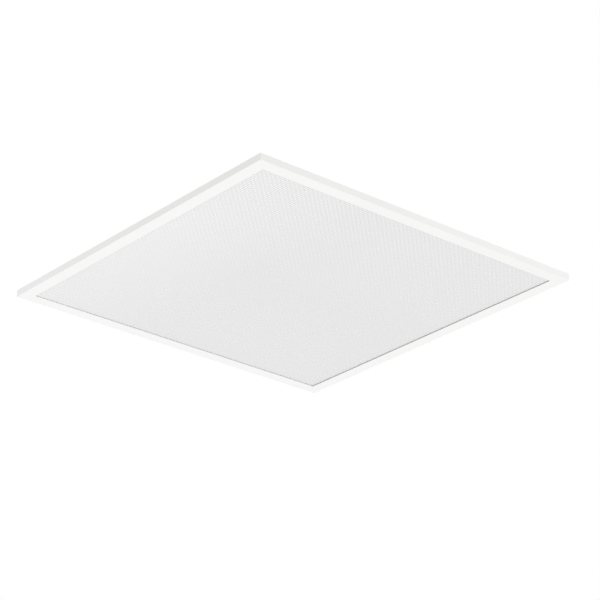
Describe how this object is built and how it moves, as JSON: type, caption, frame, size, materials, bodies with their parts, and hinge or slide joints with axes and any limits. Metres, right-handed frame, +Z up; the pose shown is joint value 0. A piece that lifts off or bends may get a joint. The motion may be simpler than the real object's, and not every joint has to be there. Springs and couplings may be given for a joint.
{
  "type": "recessed troffer light",
  "caption": "Slim square recessed ceiling light for a lay-in grid: white mitred frame, prismatic diffuser, edge-lit guide, driver box with hinged wiring lid and fold-up grid clips.",
  "frame": {"origin": "centre of the square, on the plane of the frame's visible face", "axes": "+Z up into the ceiling, X along the driver box with the mains entry at +X, the visible face looks down"},
  "size_m": [0.595, 0.595, 0.0456],
  "materials": {
    "white_powder_coat": "satin white powder coat on extruded aluminium",
    "cast_key": "die-cast, dull",
    "zinc_screw": "bright zinc plating",
    "prismatic_plastic": "white translucent plastic with small moulded prisms",
    "white_film": "thin light-spreading film",
    "clear_acrylic": "clear polished acrylic with printed dots",
    "white_reflector": "bright white foil",
    "grey_foam": "soft closed-cell foam sheet",
    "led_board": "aluminium board with a white mask",
    "led_phosphor": "white housing with a yellow phosphor face",
    "white_sheet": "white coated sheet steel",
    "zinc_sheet": "zinc-plated sheet",
    "spring_steel": "spring strip with a rolled grain",
    "box_plastic": "white flame-retardant plastic, fine spark texture",
    "circuit_board": "glass laminate with a green mask",
    "connector_grey": "grey polyamide",
    "button_orange": "orange polyamide",
    "button_blue": "blue polyamide",
    "button_green": "green polyamide",
    "fuse_brown": "dark brown moulded case",
    "copper_choke": "enamelled copper wire on a ferrite core",
    "capacitor_sleeve": "shrink sleeve on an aluminium can",
    "ferrite": "ground ferrite",
    "winding_tape": "yellow polyester tape",
    "bare_aluminium": "rolled plate",
    "moulded_black": "black epoxy",
    "lead_red": "red insulation",
    "lead_black": "black insulation",
    "wire_brown": "brown insulation",
    "wire_blue": "blue insulation",
    "wire_green": "green and yellow insulation",
    "tinned_copper": "tinned copper",
    "gland_plastic": "light grey polyamide",
    "black_rubber": "soft black rubber"
  },
  "bodies": {
    "panel": {"frame_rail_front": "white_powder_coat", "frame_rail_right": "white_powder_coat", "frame_rail_back": "white_powder_coat", "frame_rail_left": "white_powder_coat", "corner_keys": "cast_key", "panel_screws": "zinc_screw", "prismatic_diffuser": "prismatic_plastic", "light_film": "white_film", "light_guide": "clear_acrylic", "reflector": "white_reflector", "foam_pad_front": "grey_foam", "foam_pad_back": "grey_foam", "led_board_left": "led_board", "leds_left": "led_phosphor", "led_board_right": "led_board", "leds_right": "led_phosphor", "back_plate": "white_sheet", "clip_brackets": "zinc_sheet", "hanger_brackets": "zinc_sheet", "clip_pins": "zinc_screw", "box_base": "box_plastic", "driver_cover": "box_plastic", "lid_hinge_pin": "zinc_screw", "cover_screws": "zinc_screw", "box_screws": "zinc_screw", "board_screws": "zinc_screw", "lead_grommet": "black_rubber", "driver_board": "circuit_board", "input_header": "connector_grey", "input_fuse": "fuse_brown", "emi_choke": "copper_choke", "bulk_capacitor": "capacitor_sleeve", "transformer_core": "ferrite", "transformer_winding": "winding_tape", "heatsink": "bare_aluminium", "power_transistor": "moulded_black", "output_capacitors": "capacitor_sleeve", "output_inductor": "moulded_black", "output_terminal": "connector_grey", "mains_terminal": "connector_grey", "live_link": "wire_brown", "neutral_link": "wire_blue", "earth_link": "wire_green", "earth_tag": "tinned_copper", "earth_screw": "zinc_screw", "red_leads": "lead_red", "black_leads": "lead_black", "gland_body": "gland_plastic", "gland_locknut": "gland_plastic", "gland_seal": "black_rubber"},
    "lid": {"wiring_lid": "box_plastic"},
    "clip_front_left": {"grid_clip_front_left": "spring_steel"},
    "clip_back_left": {"grid_clip_back_left": "spring_steel"},
    "clip_front_right": {"grid_clip_front_right": "spring_steel"},
    "clip_back_right": {"grid_clip_back_right": "spring_steel"},
    "button_live": {"live_button": "button_orange"},
    "button_neutral": {"neutral_button": "button_blue"},
    "button_earth": {"earth_button": "button_green"},
    "dome_nut": {"gland_nut": "gland_plastic"}
  },
  "joints": [
    {"name": "lid_hinge", "type": "hinge", "parent": "panel", "child": "lid", "pos_m": [0.045, 0, 0.0434], "axis": [0, -1, 0], "range_deg": [0, 110]},
    {"name": "clip_hinge_front_left", "type": "hinge", "parent": "panel", "child": "clip_front_left", "pos_m": [-0.2865, -0.2, 0.0139], "axis": [0, -1, 0], "range_deg": [0, 90]},
    {"name": "clip_hinge_front_right", "type": "hinge", "parent": "panel", "child": "clip_front_right", "pos_m": [0.2865, -0.2, 0.0139], "axis": [0, 1, 0], "range_deg": [0, 90]},
    {"name": "clip_hinge_back_left", "type": "hinge", "parent": "panel", "child": "clip_back_left", "pos_m": [-0.2865, 0.2, 0.0139], "axis": [0, -1, 0], "range_deg": [0, 90]},
    {"name": "clip_hinge_back_right", "type": "hinge", "parent": "panel", "child": "clip_back_right", "pos_m": [0.2865, 0.2, 0.0139], "axis": [0, 1, 0], "range_deg": [0, 90]},
    {"name": "live_release", "type": "slide", "parent": "panel", "child": "button_live", "axis": [0, 0, -1], "range_m": [0, 0.0015], "stiffness_N_per_m": 600, "springref_m": -0.0008},
    {"name": "neutral_release", "type": "slide", "parent": "panel", "child": "button_neutral", "axis": [0, 0, -1], "range_m": [0, 0.0015], "stiffness_N_per_m": 600, "springref_m": -0.0008},
    {"name": "earth_release", "type": "slide", "parent": "panel", "child": "button_earth", "axis": [0, 0, -1], "range_m": [0, 0.0015], "stiffness_N_per_m": 600, "springref_m": -0.0008},
    {"name": "nut_turn", "type": "hinge", "parent": "panel", "child": "dome_nut", "pos_m": [0.126, 0, 0.0266], "axis": [1, 0, 0], "continuous": true}
  ]
}
